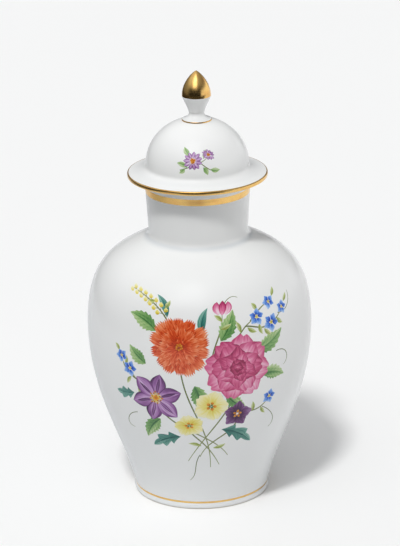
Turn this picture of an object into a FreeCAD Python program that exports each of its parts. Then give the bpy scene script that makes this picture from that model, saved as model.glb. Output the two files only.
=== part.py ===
"""Covered porcelain vase: a baluster jar with a domed lid that lifts off.

Lengths are millimetres and +Z is up. The origin is the middle of the circle
that the foot stands on. Every piece is turned round the Z axis, as it is on
the potter's wheel, so each one starts as half a section in the XZ plane. The
jar is thrown in four sections, luted above its floor, at its belly and at its
neck.
"""
import FreeCAD, Part

import math
import os

# Porcelain walls
body_wall = 3.6
lid_wall = 3.0
floor_thickness = 5.0

# Foot: a rounded roll that stands on a narrow unglazed ring
contact_radius = 45.7
roll_radius = 46.8
roll_height = 2.0
waist_radius = 46.1
waist_height = 4.2
ring_width = 4.4
ring_bevel = 0.8
recess_depth = 4.6
recess_rise = 1.2
floor_round = 10.2
foot_joint_rise = 4.2

# Body: narrow above the foot, widest high up, then a sloping shoulder
belly_radius = 77.1
belly_height = 121.4
shoulder_rise = 63.6
shoulder_pitch = 22.5
shoulder_cove = 6.0

# Neck: meets the shoulder at a coved corner and opens a little upwards
neck_foot_radius = 33.7
neck_length = 41.5
neck_spread = 2.45
rim_round = 1.2

# Shape of the body's two swept curves
foot_rise_share = 0.252
foot_lean_share = 0.175
belly_lower_share = 0.432
belly_upper_share = 0.611
shoulder_flat_share = 0.709

# Lid: dome, brim that rests on the neck's rim, and a collar that centres it
seat_gap = 0.1
brim_radius = 47.7
brim_edge = 2.8
brim_slope = 8.0
dome_radius = 35.05
dome_spring = 8.8
dome_rise = 31.64
collar_gap = 0.8
collar_depth = 12.0
collar_wall = 3.0
collar_taper = 1.5

# Shape of the cove between brim and dome, of the dome, and of the hollow
brim_flat_share = 0.50
cove_share = 0.75
quarter_share = 0.5523
hollow_share = 0.50

# Finial: a bud on a flared foot, seated on a flat at the dome's crown
seat_margin = 0.3
finial_foot_radius = 10.1
finial_foot_edge = 0.9
stem_radius = 5.0
stem_height = 5.8
bud_base_radius = 5.35
bud_radius = 9.85
bud_height = 17.0
finial_height = 34.4

# Shape of the finial's curves
flare_drop_share = 0.60
flare_reach_share = 0.50
flare_lift_share = 0.12
bud_lean_share = 0.20
bud_lift_share = 0.40
bud_swell_share = 0.15
ogive_share = 0.59
nose_share = 0.10

# Gilding: films seated flush in the glaze
gilding_depth = 0.3
foot_line_width = 1.5
neck_band_width = 4.5
neck_band_drop = 6.3
edge_gilding_width = 0.9

# Overrun of the cutting shapes past the faces that they cut
overrun = 2.0

# Places of the floor, the joints and the rim, which the sizes above give
floor_level = recess_depth + recess_rise + floor_thickness
foot_joint_height = floor_level + foot_joint_rise
neck_foot_height = belly_height + shoulder_rise
neck_rim_height = neck_foot_height + neck_length
neck_rim_radius = neck_foot_radius + neck_spread

ORIGIN = FreeCAD.Vector(0, 0, 0)
UP = FreeCAD.Vector(0, 0, 1)


def at(radius, height):
    """Return the point of the half section at this radius and height."""
    return FreeCAD.Vector(radius, 0, height)


def heading(degrees):
    """Return the direction in the section that climbs by an angle."""
    angle = math.radians(degrees)
    return at(math.cos(angle), math.sin(angle))


def line(start, end):
    """Return a straight edge."""
    return Part.LineSegment(start, end).toShape()


def sweep(start, leave, arrive, end):
    """Return a smooth edge that leaves and arrives towards its two handles."""
    curve = Part.BezierCurve()
    curve.setPoles([start, leave, arrive, end])
    return curve.toShape()


def arc(start, middle, end):
    """Return a round edge through three points."""
    return Part.Arc(start, middle, end).toShape()


def rounding(start, corner, end):
    """Return the arc that touches two equal legs of a corner at their ends."""
    before = start - corner
    after = end - corner
    half = before.getAngle(after) / 2
    bisector = (before + after).normalize()
    reach = before.Length * (1 - math.sin(half)) / math.cos(half)
    return arc(start, corner + bisector * reach, end)


def turned(edges):
    """Return the solid that a closed half section makes round the axis."""
    face = Part.Face(Part.Wire(edges))
    return face.revolve(ORIGIN, UP, 360)


def tube(inner, outer, low, high):
    """Return a plain ring between two radii and two heights."""
    corners = [at(inner, low), at(outer, low), at(outer, high), at(inner, high)]
    return turned([line(a, b) for a, b in zip(corners, corners[1:] + corners[:1])])


def neck_direction():
    """Return the direction in which the neck's side climbs."""
    foot = at(neck_foot_radius, neck_foot_height)
    rim = at(neck_rim_radius, neck_rim_height)
    return (rim - foot).normalize()


def neck_radius(height):
    """Return the neck's outer radius at a height."""
    share = (height - neck_foot_height) / (neck_rim_height - neck_foot_height)
    return neck_foot_radius + share * (neck_rim_radius - neck_foot_radius)


def cove_points(inset):
    """Return the start, corner and end of the cove between shoulder and neck."""
    outward = heading(-shoulder_pitch)
    upward = neck_direction()
    half = outward.getAngle(upward) / 2
    inward = (outward + upward).normalize() * (-inset / math.sin(half))
    corner = at(neck_foot_radius, neck_foot_height) + inward
    leg = (shoulder_cove + inset) / math.tan(half)
    return corner + outward * leg, corner, corner + upward * leg


def wall_edges(inset):
    """Return the wall's edges from waist to lip, and the corner at the rim."""
    waist = at(waist_radius - inset, waist_height)
    belly = at(belly_radius - inset, belly_height)
    shoulder, corner, neck = cove_points(inset)
    rim = neck + neck_direction() * ((neck_rim_height - neck.z) / neck_direction().z)
    lip = rim - neck_direction() * rim_round
    climb = foot_rise_share * (belly.z - waist.z)
    leave_waist = waist + at(foot_lean_share * climb, climb)
    below_belly = belly - at(0, belly_lower_share * (belly.z - waist.z))
    above_belly = belly + at(0, belly_upper_share * (shoulder.z - belly.z))
    run = shoulder_flat_share * (belly.x - shoulder.x)
    below_shoulder = shoulder + at(run, -run * math.tan(math.radians(shoulder_pitch)))
    edges = [
        sweep(waist, leave_waist, below_belly, belly),
        sweep(belly, above_belly, below_shoulder, shoulder),
        rounding(shoulder, corner, neck),
        line(neck, lip),
    ]
    return edges, lip, rim


def vase_form(inset):
    """Return the solid form of body and neck above the waist."""
    edges, lip, rim = wall_edges(inset)
    inner = rim - at(rim_round, 0)
    top = at(0, rim.z)
    bottom = at(0, waist_height)
    waist = at(waist_radius - inset, waist_height)
    edges += [rounding(lip, rim, inner), line(inner, top), line(top, bottom), line(bottom, waist)]
    return turned(edges)


def foot_form():
    """Return the disc under the waist, with its rounded roll."""
    contact = at(contact_radius, 0)
    waist = at(waist_radius, waist_height)
    top = at(0, waist_height)
    roll = arc(contact, at(roll_radius, roll_height), waist)
    return turned([roll, line(waist, top), line(top, ORIGIN), line(ORIGIN, contact)])


def foot_recess():
    """Return the shallow dished hollow inside the standing ring."""
    ring = contact_radius - ring_width
    mouth = at(ring + ring_bevel, 0)
    side = at(ring, ring_bevel)
    ceiling = at(ring, recess_depth)
    crown = at(0, recess_depth + recess_rise)
    dish = sweep(ceiling, at(ring / 2, crown.z), at(ring / 2, crown.z), crown)
    edges = [line(mouth, side), line(side, ceiling), dish, line(crown, ORIGIN)]
    return turned(edges + [line(ORIGIN, mouth)])


def cavity():
    """Return the hollow of the jar, from its round floor corner to its lip."""
    edges, lip, rim = wall_edges(body_wall)
    middle = at(0, floor_level)
    level = middle + at(0, floor_round)
    wall = edges[0].Curve
    crossing = wall.intersect(Part.Line(level, level + at(belly_radius, 0)))[0]
    start = wall.parameter(FreeCAD.Vector(crossing.X, crossing.Y, crossing.Z))
    heel = wall.value(start)
    side = FreeCAD.Vector(*wall.tangent(start)[0])
    corner = heel - side * (floor_round / side.z)
    flat = corner - at(corner.distanceToPoint(heel), 0)
    floor = [line(middle, flat), rounding(flat, corner, heel), wall.toShape(start, 1)]
    outer = rim + at(rim_round, 0)
    above = outer + at(0, overrun)
    top = at(0, above.z)
    mouth = [rounding(lip, rim, outer), line(outer, above), line(above, top), line(top, middle)]
    return turned(floor + edges[1:] + mouth)


def film(form, zone):
    """Return the outermost layer of a form within a zone: one gilded film."""
    return form(0).cut(form(gilding_depth)).common(zone)


def foot_line():
    """Return the thin gilded line just above the foot's roll."""
    zone = tube(0, belly_radius, waist_height, waist_height + foot_line_width)
    return film(vase_form, zone)


def neck_band():
    """Return the gilded band round the neck, just under the brim."""
    top = neck_rim_height - neck_band_drop
    zone = tube(0, belly_radius, top - neck_band_width, top)
    return film(vase_form, zone)


def jar_wall():
    """Return the whole wall of the jar: foot, belly, shoulder and neck."""
    return foot_form().fuse(vase_form(0)).cut(foot_recess()).cut(cavity())


def section(wall, low, high):
    """Return the thrown section of the wall between two luted joints."""
    return wall.common(tube(0, belly_radius + overrun, low, high))


def foot(wall, gilding):
    """Return the foot ring and the floor, thrown as a shallow dish."""
    return section(wall, -overrun, foot_joint_height).cut(gilding)


def lower_body(wall):
    """Return the jar's side from the foot to its widest, luted on the foot."""
    return section(wall, foot_joint_height, belly_height)


def upper_body(wall):
    """Return the jar's shoulder, thrown apart and luted on the lower body."""
    return section(wall, belly_height, neck_foot_height)


def neck(wall, gilding):
    """Return the neck, from the corner at the shoulder to the rounded rim."""
    return section(wall, neck_foot_height, neck_rim_height + overrun).cut(gilding)


def brim_seat():
    """Return the height of the brim's flat underside."""
    return neck_rim_height + seat_gap


def dome_height():
    """Return the height at which the dome is widest."""
    return brim_seat() + dome_spring


def crown_seat():
    """Return the height of the flat where the finial stands."""
    share = (finial_foot_radius + seat_margin) / dome_radius
    return dome_height() + dome_rise * math.sqrt(1 - share * share)


def dome_edge(inset):
    """Return the dome's edge from its widest to its crown, and the crown."""
    spring = at(dome_radius - inset, dome_height())
    crown = at(0, dome_height() + dome_rise - inset)
    leave = spring + at(0, quarter_share * (crown.z - spring.z))
    arrive = crown + at(quarter_share * spring.x, 0)
    return sweep(spring, leave, arrive, crown), crown


def brim_edges(inset):
    """Return the brim's edges, from its underside round to the dome's foot."""
    reach = brim_edge / 2 - inset
    middle = at(brim_radius - brim_edge / 2, brim_seat() + brim_edge / 2)
    upper = middle + heading(90 - brim_slope) * reach
    outer = middle + at(reach, 0)
    lower = middle - at(0, reach)
    over = outer + at(0, reach * math.tan(math.radians(45 - brim_slope / 2)))
    spring = at(dome_radius - inset, dome_height())
    run = brim_flat_share * (upper.x - spring.x)
    leave = upper + at(-run, run * math.tan(math.radians(brim_slope)))
    arrive = spring - at(0, cove_share * (spring.z - leave.z))
    edge = [rounding(lower, lower + at(reach, 0), outer), rounding(outer, over, upper)]
    return lower, edge + [sweep(upper, leave, arrive, spring)]


def lid_form(inset):
    """Return the solid form of dome and brim, without hollow or collar."""
    lower, brim = brim_edges(inset)
    dome, crown = dome_edge(inset)
    base = at(0, lower.z)
    return turned([line(base, lower)] + brim + [dome, line(crown, base)])


def lid_edge_gilding():
    """Return the gilding that wraps the brim's rounded edge."""
    inner = brim_radius - edge_gilding_width
    low = brim_seat() - overrun
    zone = tube(inner, brim_radius + overrun, low, dome_height())
    return film(lid_form, zone)


def collar_edges():
    """Return the collar's outside and rounded tip, from the brim downwards."""
    tip = brim_seat() - collar_depth
    tip_radius = neck_radius(tip) - body_wall / neck_direction().z - collar_gap
    spread = collar_depth * math.tan(math.radians(collar_taper))
    end = collar_wall / 2
    root = at(tip_radius + spread, brim_seat())
    outside = at(tip_radius, tip + end)
    inside = outside - at(collar_wall, 0)
    nose = at(tip_radius - end, tip)
    outer_round = rounding(nose, nose + at(end, 0), outside)
    inner_round = rounding(inside, nose - at(end, 0), nose)
    return root, inside, [inner_round, outer_round, line(root, outside)]


def hollow_edges(inside):
    """Return the hollow's edges from its ceiling down to the collar's tip."""
    mouth = at(inside.x, brim_seat())
    spring = at(dome_radius - lid_wall, dome_height())
    lift = at(0, hollow_share * dome_spring)
    ceiling, crown = dome_edge(lid_wall)
    return crown, [ceiling, sweep(mouth, mouth + lift, spring - lift, spring), line(inside, mouth)]


def lid(gilding):
    """Return the lid: dome, brim and collar in one wall, flat at the crown."""
    lower, brim = brim_edges(0)
    root, inside, collar = collar_edges()
    dome, top = dome_edge(0)
    crown, hollow = hollow_edges(inside)
    solid = turned([line(root, lower)] + brim + [dome, line(top, crown)] + hollow + collar)
    above = tube(0, dome_radius, crown_seat(), top.z + overrun)
    return solid.cut(above).cut(gilding)


def finial_form(inset):
    """Return the solid form of the bud-shaped knob."""
    seat = crown_seat()
    foot = at(finial_foot_radius - inset, seat)
    edge = foot + at(0, finial_foot_edge)
    stem = at(stem_radius - inset, seat + stem_height)
    base = at(bud_base_radius - inset, stem.z)
    bulge = at(bud_radius - inset, seat + bud_height)
    tip = at(0, seat + finial_height - inset)
    reach = edge.x - stem.x
    drop = stem.z - edge.z
    swell = bulge - base
    flare = sweep(
        edge,
        edge + at(-flare_reach_share * reach, flare_lift_share * drop),
        stem - at(0, flare_drop_share * drop),
        stem,
    )
    under = sweep(
        base,
        base + at(bud_lean_share * swell.x, bud_lift_share * swell.z),
        bulge - at(0, bud_swell_share * swell.z),
        bulge,
    )
    ogive = sweep(
        bulge,
        bulge + at(0, ogive_share * (tip.z - bulge.z)),
        tip + at(nose_share * bulge.x, 0),
        tip,
    )
    axis = at(0, seat)
    edges = [line(foot, edge), flare, line(stem, base), under, ogive, line(tip, axis)]
    return turned(edges + [line(axis, foot)])


def finial_ring_gilding():
    """Return the gilded ring round the edge of the finial's foot."""
    seat = crown_seat()
    zone = tube(stem_radius, dome_radius, seat, seat + finial_foot_edge)
    return film(finial_form, zone)


def finial_bud_gilding():
    """Return the gilding that covers the bud from its widest to its tip."""
    low = crown_seat() + bud_height
    zone = tube(0, dome_radius, low, low + finial_height)
    return film(finial_form, zone)


def finial(gilding):
    """Return the knob, which is luted on the lid's flat crown."""
    solid = finial_form(0)
    for piece in gilding:
        solid = solid.cut(piece)
    return solid


def pieces():
    """Return every piece of the covered vase by its name."""
    foot_film = foot_line()
    neck_film = neck_band()
    edge_film = lid_edge_gilding()
    ring_film = finial_ring_gilding()
    bud_film = finial_bud_gilding()
    wall = jar_wall()
    return {
        "foot": foot(wall, foot_film),
        "lower_body": lower_body(wall),
        "upper_body": upper_body(wall),
        "neck": neck(wall, neck_film),
        "foot_gilding": foot_film,
        "neck_gilding": neck_film,
        "lid": lid(edge_film),
        "lid_edge_gilding": edge_film,
        "finial": finial([ring_film, bud_film]),
        "finial_ring_gilding": ring_film,
        "finial_bud_gilding": bud_film,
    }


def main():
    """Write one STEP file for each piece."""
    os.makedirs("parts", exist_ok=True)
    for name, shape in pieces().items():
        assert shape.isValid() and len(shape.Solids) == 1, name
        shape.Solids[0].exportStep(os.path.join("parts", name + ".step"))
        print(name, round(shape.Volume, 1))


main()
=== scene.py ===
"""Covered porcelain vase, dressed: glaze, fired gold and a painted flower spray.

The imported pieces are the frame. Each turned piece is thrown again on a fine
wheel from its half section, so that the glaze shades smoothly, and the
flowers are laid on the glaze stroke by stroke, as a painter lays enamel.
Sizes are millimetres in the classes and become metres in the meshes.
"""

import logging
from dataclasses import dataclass, field
from enum import Enum
from functools import partial, reduce
from itertools import accumulate
from math import ceil, comb, cos, exp, pi, radians, sin, sqrt, tan
from typing import Any, Callable, Sequence

import bpy
from bpy.types import Material, Mesh, Node, NodeTree, Object
from mathutils import Matrix, Vector


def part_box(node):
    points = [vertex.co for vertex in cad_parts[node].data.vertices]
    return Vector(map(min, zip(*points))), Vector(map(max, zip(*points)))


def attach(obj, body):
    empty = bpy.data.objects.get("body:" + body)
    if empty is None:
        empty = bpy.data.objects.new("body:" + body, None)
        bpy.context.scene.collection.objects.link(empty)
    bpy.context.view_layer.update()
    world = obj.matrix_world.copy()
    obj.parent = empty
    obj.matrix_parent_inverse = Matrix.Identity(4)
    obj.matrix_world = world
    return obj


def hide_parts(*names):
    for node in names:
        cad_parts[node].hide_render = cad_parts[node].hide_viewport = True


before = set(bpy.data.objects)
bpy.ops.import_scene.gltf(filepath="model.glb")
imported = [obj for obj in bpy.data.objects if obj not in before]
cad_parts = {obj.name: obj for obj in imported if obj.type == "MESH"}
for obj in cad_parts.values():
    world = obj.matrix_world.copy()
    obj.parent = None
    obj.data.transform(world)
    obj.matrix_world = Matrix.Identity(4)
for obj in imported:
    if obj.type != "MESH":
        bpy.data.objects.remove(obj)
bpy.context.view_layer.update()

log = logging.getLogger("covered_vase")

MM = 0.001
TURN = 2 * pi
WELD = 1e-7
SHARP_EDGE = radians(40)
GOLDEN_ANGLE = pi * (3 - sqrt(5))
MATH, RANGE, MIX, NOISE = "ShaderNodeMath", "ShaderNodeMapRange", "ShaderNodeMix", "ShaderNodeTexNoise"
JOIN_XYZ, SPLIT_XYZ, ROTATE = "ShaderNodeCombineXYZ", "ShaderNodeSeparateXYZ", "ShaderNodeVectorRotate"
STORE, NAMED = "GeometryNodeStoreNamedAttribute", "GeometryNodeInputNamedAttribute"

Point = tuple[float, float]
Line = Sequence[Vector]
Measure = Callable[[Vector], float]


def linear(code: str) -> tuple[float, ...]:
    """Turn a hex colour as the eye reads it into the renderer's own values.

    Args:
        code: Six hex digits after a hash, in sRGB.

    Returns:
        Red, green, blue and full cover, each from 0 to 1.
    """
    shares = [int(code[k:k + 2], 16) / 255 for k in (1, 3, 5)]
    return *(s / 12.92 if s <= 0.04045 else ((s + 0.055) / 1.055) ** 2.4 for s in shares), 1.0


def feed(node: Node, *values: Any, **named: Any) -> Node:
    """Feed a node's inputs.

    Args:
        node: The node.
        *values: What its inputs get, in the order in which it shows them: a
            node, for its first output, a socket or a plain value.
        **named: What an input gets by its name, with _ for a space.

    Returns:
        The node.
    """
    fed = list(zip([socket for socket in node.inputs if socket.enabled], values))
    fed += [(node.inputs[name.replace("_", " ")], value) for name, value in named.items()]
    for socket, value in fed:
        if isinstance(value, Node):
            value = next(output for output in value.outputs if output.enabled)
        if isinstance(value, bpy.types.NodeSocket):
            node.id_data.links.new(value, socket)
        else:
            socket.default_value = value
    return node


def add(tree: NodeTree, kind: str, *values: Any, **named: Any) -> Node:
    """Add one node with its settings and its links.

    Args:
        tree: The node tree that the node goes into.
        kind: The node's type.
        *values: What its inputs get, in the order in which it shows them.
        **named: Its settings, and what an input gets by its name, which
            starts with a capital.

    Returns:
        The new node.
    """
    node = tree.nodes.new(kind)
    for name, value in named.items():
        if name[0].islower():
            setattr(node, name, value)
    return feed(node, *values, **{name: value for name, value in named.items() if name[0].isupper()})


def new_finish(name: str) -> tuple[Material, Node, Callable[..., Node]]:
    """Start a finish.

    Args:
        name: What the finish is.

    Returns:
        The new material, its shader, and what adds a node to it.
    """
    made = bpy.data.materials.new(name)
    made.use_nodes = True
    return made, made.node_tree.nodes["Principled BSDF"], partial(add, made.node_tree)


def stand(name: str, data: bpy.types.ID) -> Object:
    """Stand a new object in the scene.

    Args:
        name: Its name.
        data: Its mesh, its camera or its light.

    Returns:
        The object, at the origin.
    """
    made = bpy.data.objects.new(name, data)
    bpy.context.scene.collection.objects.link(made)
    return made


def reach(node: str) -> float:
    """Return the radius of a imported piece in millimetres."""
    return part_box(node)[1].x / MM


def top(node: str) -> float:
    """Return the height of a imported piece's highest point in millimetres."""
    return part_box(node)[1].z / MM


def bottom(node: str) -> float:
    """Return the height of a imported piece's lowest point in millimetres."""
    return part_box(node)[0].z / MM


def at(radius: float, height: float) -> Vector:
    """Return the point of a half section at this radius and height."""
    return Vector((radius, height))


def right_of(ahead: Vector) -> Vector:
    """Return a direction of the paper turned a quarter clockwise."""
    return Vector((ahead.y, -ahead.x))


def cubic(a: Vector, b: Vector, c: Vector, d: Vector, t: float) -> Vector:
    """Return the point of a cubic curve at a share of its run."""
    s = 1 - t
    return a * s**3 + b * 3 * s * s * t + c * 3 * s * t * t + d * t**3


def run_of(*points: Vector) -> float:
    """Return the length of the straight edges through these points."""
    return sum((b - a).length for a, b in zip(points, points[1:]))


class Section:
    """Half section of a turned piece: radius and height, edge by edge."""

    least_steps = 6

    def __init__(self, start: Vector, spacing: float = 1.6) -> None:
        """Start at a point, with no two points further apart than this."""
        self.points, self.spacing = [start], spacing

    def line(self, *points: Vector) -> "Section":
        """Draw straight edges.

        Args:
            *points: Where each edge ends.

        Returns:
            The section, to draw on.
        """
        for point in points:
            start = self.points[-1]
            steps = max(1, ceil((point - start).length / self.spacing))
            self.points += [start.lerp(point, k / steps) for k in range(1, steps + 1)]
        return self

    def sweep(self, leave: Vector, arrive: Vector, point: Vector) -> "Section":
        """Draw a smooth edge that leaves and arrives towards two handles.

        Args:
            leave: The handle at the edge's start.
            arrive: The handle at its end.
            point: Where the edge ends.

        Returns:
            The section, to draw on.
        """
        start = self.points[-1]
        steps = max(self.least_steps, ceil(run_of(start, leave, arrive, point) / self.spacing))
        self.points += [cubic(start, leave, arrive, point, k / steps) for k in range(1, steps + 1)]
        return self

    def round(self, corner: Vector, point: Vector) -> "Section":
        """Round a corner whose two legs are equally long.

        Args:
            corner: The corner that is rounded.
            point: The end of the leg after it.

        Returns:
            The section, to draw on.
        """
        start = self.points[-1]
        turn = (corner - start).angle(point - corner)
        share = 4 / 3 * tan(turn / 4) / tan(turn / 2)
        return self.sweep(start.lerp(corner, share), point.lerp(corner, share), point)

    def follow(self, points: Line) -> "Section":
        """Go on along points that are already known."""
        self.points += points
        return self


def clip(points: Line, measure: Measure) -> list[Vector]:
    """Cut a run of points where a measure changes its sign.

    Args:
        points: The run, as a section holds it.
        measure: A point stays where this is not below zero.

    Returns:
        The points that stay, with new ones where the run was cut.
    """
    kept: list[Vector] = []
    for a, b in zip(points, points[1:]):
        near, far = measure(a), measure(b)
        if near >= 0:
            kept.append(a)
        if near * far < 0:
            kept.append(a.lerp(b, near / (near - far)))
    if measure(points[-1]) >= 0:
        kept.append(points[-1])
    return kept


@dataclass(frozen=True)
class Film:
    """Thin fired film of gold on a turned piece, as a closed half section."""

    outline: Callable[[float], Line]
    measures: tuple[Measure, ...]
    proud: float = 0.02
    sunk: float = 0.10

    def section(self) -> list[Vector]:
        """Cut the film out of the outline by its measures.

        Returns:
            The film's section, closed in itself or by the axis.
        """
        outer, inner = list(self.outline(-self.proud)), list(self.outline(self.sunk))
        for measure in self.measures:
            outer, inner = clip(outer, measure), clip(inner, measure)
        if abs(outer[-1].x) < WELD:
            return inner[::-1] + outer
        return outer + inner[::-1] + outer[:1]


def line_mesh(name: str, points: Line) -> Mesh:
    """Make a mesh of one open line through the points of a section.

    Args:
        name: The mesh's name.
        points: The section's points, in millimetres.

    Returns:
        The mesh, in metres, in the XZ plane.
    """
    mesh = bpy.data.meshes.new(name)
    edges = [(k, k + 1) for k in range(len(points) - 1)]
    mesh.from_pydata([(p.x * MM, 0.0, p.y * MM) for p in points], edges, [])
    return mesh


class Recipe:
    """A Geometry Nodes tree that is run on a mesh, which keeps the result."""

    def __init__(self, name: str, sockets: dict[str, str]) -> None:
        """Start the tree.

        Args:
            name: The tree's name.
            sockets: Each input's name, with the kind of socket it has.
        """
        self.tree = bpy.data.node_groups.new(name, "GeometryNodeTree")
        self.add = partial(add, self.tree)
        new_socket = self.tree.interface.new_socket
        for way in ("INPUT", "OUTPUT"):
            new_socket(name="Geometry", in_out=way, socket_type="NodeSocketGeometry")
        self.keys = {
            label: new_socket(name=label, in_out="INPUT", socket_type="NodeSocket" + kind).identifier
            for label, kind in (sockets | {"Sharp": "Float", "Finish": "Material"}).items()
        }
        self.given = self.add("NodeGroupInput").outputs

    def close(self, body: Node) -> None:
        """End the tree: smooth faces, crisp edges, real geometry, its finish.

        Args:
            body: What it has made.
        """
        bend = self.add("GeometryNodeInputMeshEdgeAngle")
        crisp = self.add("FunctionNodeCompare", bend, self.given["Sharp"], operation="GREATER_THAN")
        body = self.add("GeometryNodeSetShadeSmooth", body, Shade_Smooth=True)
        body = self.add("GeometryNodeSetShadeSmooth", body, crisp, False, domain="EDGE")
        body = self.add("GeometryNodeRealizeInstances", body)
        self.add("NodeGroupOutput", self.add("GeometryNodeSetMaterial", body, Material=self.given["Finish"]))

    def bake(self, name: str, mesh: Mesh, **values: Any) -> Object:
        """Run the tree on a mesh and keep the result as a plain piece.

        Args:
            name: The name of the piece.
            mesh: What the tree starts from.
            **values: The value of each named input, with _ for a space.

        Returns:
            The piece, with no modifier left on it.
        """
        piece = stand(name, mesh)
        modifier = piece.modifiers.new(self.tree.name, "NODES")
        modifier.node_group = self.tree
        for label, value in (values | {"Sharp": SHARP_EDGE}).items():
            modifier[self.keys[label.replace("_", " ")]] = value
        graph = bpy.context.evaluated_depsgraph_get()
        result = bpy.data.meshes.new_from_object(piece.evaluated_get(graph), depsgraph=graph)
        piece.modifiers.remove(modifier)
        piece.data = result
        if result.materials[0] is None:
            result.materials.pop(index=0)
        bpy.data.meshes.remove(mesh)
        result.name = name
        return piece


class Wheel(Recipe):
    """Potter's wheel: turns a half section into a closed body."""

    steps = 192

    def __init__(self) -> None:
        """Build the tree: a grid whose columns are the section, turned."""
        super().__init__("Turn on the wheel", {"Steps": "Int", "Weld": "Float"})
        given, put = self.given, self.add
        section = put("GeometryNodeAttributeDomainSize", given["Geometry"], component="MESH")
        columns = put(MATH, given["Steps"], 1.0, operation="ADD")
        grid = put("GeometryNodeMeshGrid", Vertices_X=columns, Vertices_Y=section)
        index = put("GeometryNodeInputIndex")
        row = put(MATH, index, section, operation="MODULO")
        column = put(MATH, put(MATH, index, 0.5, operation="ADD"), section, operation="DIVIDE")
        share = put(MATH, put(MATH, column, operation="FLOOR"), given["Steps"], operation="DIVIDE")
        angle = put(MATH, share, TURN, operation="MULTIPLY")
        point = put("GeometryNodeSampleIndex", given["Geometry"], put("GeometryNodeInputPosition"), row,
                    data_type="FLOAT_VECTOR")
        turned = put(ROTATE, Vector=point, Angle=angle, rotation_type="Z_AXIS")
        body = put("GeometryNodeSetPosition", grid, Position=turned)
        self.close(put("GeometryNodeMergeByDistance", body, Distance=given["Weld"]))

    def turn(self, name: str, section: Line, finish: Material) -> Object:
        """Turn a section into a piece, with the material on the line's left."""
        return self.bake(name, line_mesh(name, section), Steps=self.steps, Weld=WELD, Finish=finish)


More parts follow.
